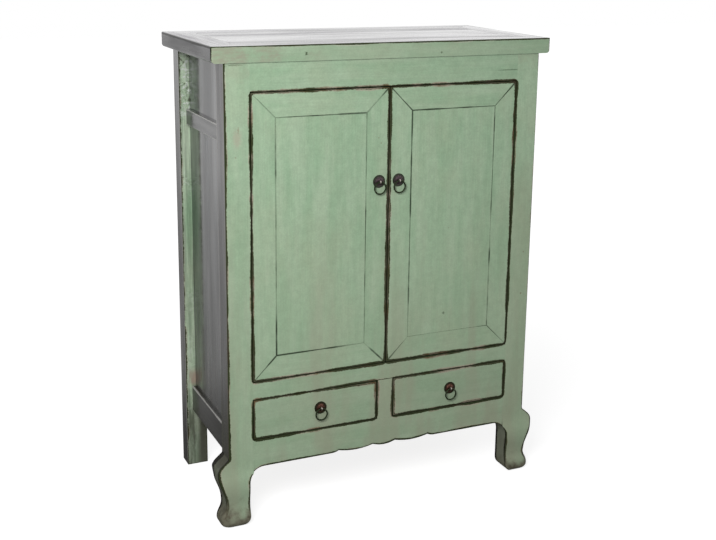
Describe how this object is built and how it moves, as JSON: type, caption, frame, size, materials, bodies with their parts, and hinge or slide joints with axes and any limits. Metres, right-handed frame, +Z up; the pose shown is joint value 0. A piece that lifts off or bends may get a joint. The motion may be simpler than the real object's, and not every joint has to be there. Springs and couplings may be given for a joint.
{
  "type": "cabinet",
  "caption": "Chinese cabinet with mitred frame doors over small drawers, ring pulls and cabriole front legs, in worn sage-green paint.",
  "frame": {"origin": "on the floor, at the middle of the whole cabinet's width and depth", "axes": "+X to the viewer's right across the front, +Y from the front to the back, +Z up"},
  "size_m": [0.932, 0.453, 1.232],
  "materials": {
    "green_paint": "sage-green paint brushed on, worn through to dark wood along the edges",
    "dark_lacquer": "dark glossy lacquer, lightly scratched",
    "bare_wood": "plain planed softwood, lightly stained",
    "aged_brass": "dark aged metal, rubbed brighter on the ring and the dome"
  },
  "bodies": {
    "cabinet": {"top_frame_front": "green_paint", "top_frame_rear": "dark_lacquer", "top_frame_left": "dark_lacquer", "top_frame_right": "dark_lacquer", "top_panel": "dark_lacquer", "top_battens": "bare_wood", "front_top_rail": "green_paint", "front_middle_rail": "green_paint", "drawer_divider": "green_paint", "front_apron": "green_paint", "back_top_rail": "bare_wood", "back_bottom_rail": "bare_wood", "back_panel": "bare_wood", "cupboard_floor": "bare_wood", "cupboard_shelf": "bare_wood", "side_bearers": "bare_wood", "bottom_board": "bare_wood", "outer_drawer_runners": "bare_wood", "centre_drawer_runner": "bare_wood", "front_leg_post_right": "green_paint", "front_leg_post_left": "green_paint", "rear_post_right": "green_paint", "rear_post_left": "green_paint", "side_bottom_rail_right": "dark_lacquer", "side_bottom_rail_left": "dark_lacquer", "side_middle_rail_right": "dark_lacquer", "side_middle_rail_left": "dark_lacquer", "side_upper_panel_right": "dark_lacquer", "side_upper_panel_left": "dark_lacquer", "side_lower_panel_right": "dark_lacquer", "side_lower_panel_left": "dark_lacquer"},
    "right_door": {"right_door_hinge_stile": "green_paint", "right_door_meeting_stile": "green_paint", "right_door_top_rail": "green_paint", "right_door_bottom_rail": "green_paint", "right_door_panel": "green_paint", "right_door_battens": "bare_wood", "right_door_pull_plate": "aged_brass"},
    "right_door_ring": {"right_door_ring": "aged_brass"},
    "left_door": {"left_door_hinge_stile": "green_paint", "left_door_meeting_stile": "green_paint", "left_door_top_rail": "green_paint", "left_door_bottom_rail": "green_paint", "left_door_panel": "green_paint", "left_door_battens": "bare_wood", "left_door_pull_plate": "aged_brass"},
    "left_door_ring": {"left_door_ring": "aged_brass"},
    "right_drawer": {"right_drawer_front": "green_paint", "right_drawer_sides": "bare_wood", "right_drawer_back": "bare_wood", "right_drawer_bottom": "bare_wood", "right_drawer_pull_plate": "aged_brass"},
    "right_drawer_ring": {"right_drawer_ring": "aged_brass"},
    "left_drawer": {"left_drawer_front": "green_paint", "left_drawer_sides": "bare_wood", "left_drawer_back": "bare_wood", "left_drawer_bottom": "bare_wood", "left_drawer_pull_plate": "aged_brass"},
    "left_drawer_ring": {"left_drawer_ring": "aged_brass"}
  },
  "joints": [
    {"name": "left_door_hinge", "type": "hinge", "parent": "cabinet", "child": "left_door", "pos_m": [-0.355, -0.2055, 0.389], "axis": [0, 0, -1], "range_deg": [0, 105]},
    {"name": "left_drawer_slide", "type": "slide", "parent": "cabinet", "child": "left_drawer", "axis": [0, -1, 0], "range_m": [0, 0.27]},
    {"name": "left_door_ring_swing", "type": "hinge", "parent": "left_door", "child": "left_door_ring", "pos_m": [-0.0275, -0.2224, 0.87973], "axis": [-1, 0, 0], "range_deg": [0, 165]},
    {"name": "left_drawer_ring_swing", "type": "hinge", "parent": "left_drawer", "child": "left_drawer_ring", "pos_m": [-0.1855, -0.2224, 0.2895], "axis": [-1, 0, 0], "range_deg": [0, 165]},
    {"name": "right_door_hinge", "type": "hinge", "parent": "cabinet", "child": "right_door", "pos_m": [0.355, -0.2055, 0.389], "axis": [0, 0, 1], "range_deg": [0, 105]},
    {"name": "right_drawer_slide", "type": "slide", "parent": "cabinet", "child": "right_drawer", "axis": [0, -1, 0], "range_m": [0, 0.27]},
    {"name": "right_door_ring_swing", "type": "hinge", "parent": "right_door", "child": "right_door_ring", "pos_m": [0.0275, -0.2224, 0.87973], "axis": [-1, 0, 0], "range_deg": [0, 165]},
    {"name": "right_drawer_ring_swing", "type": "hinge", "parent": "right_drawer", "child": "right_drawer_ring", "pos_m": [0.1965, -0.2224, 0.2845], "axis": [-1, 0, 0], "range_deg": [0, 165]}
  ]
}
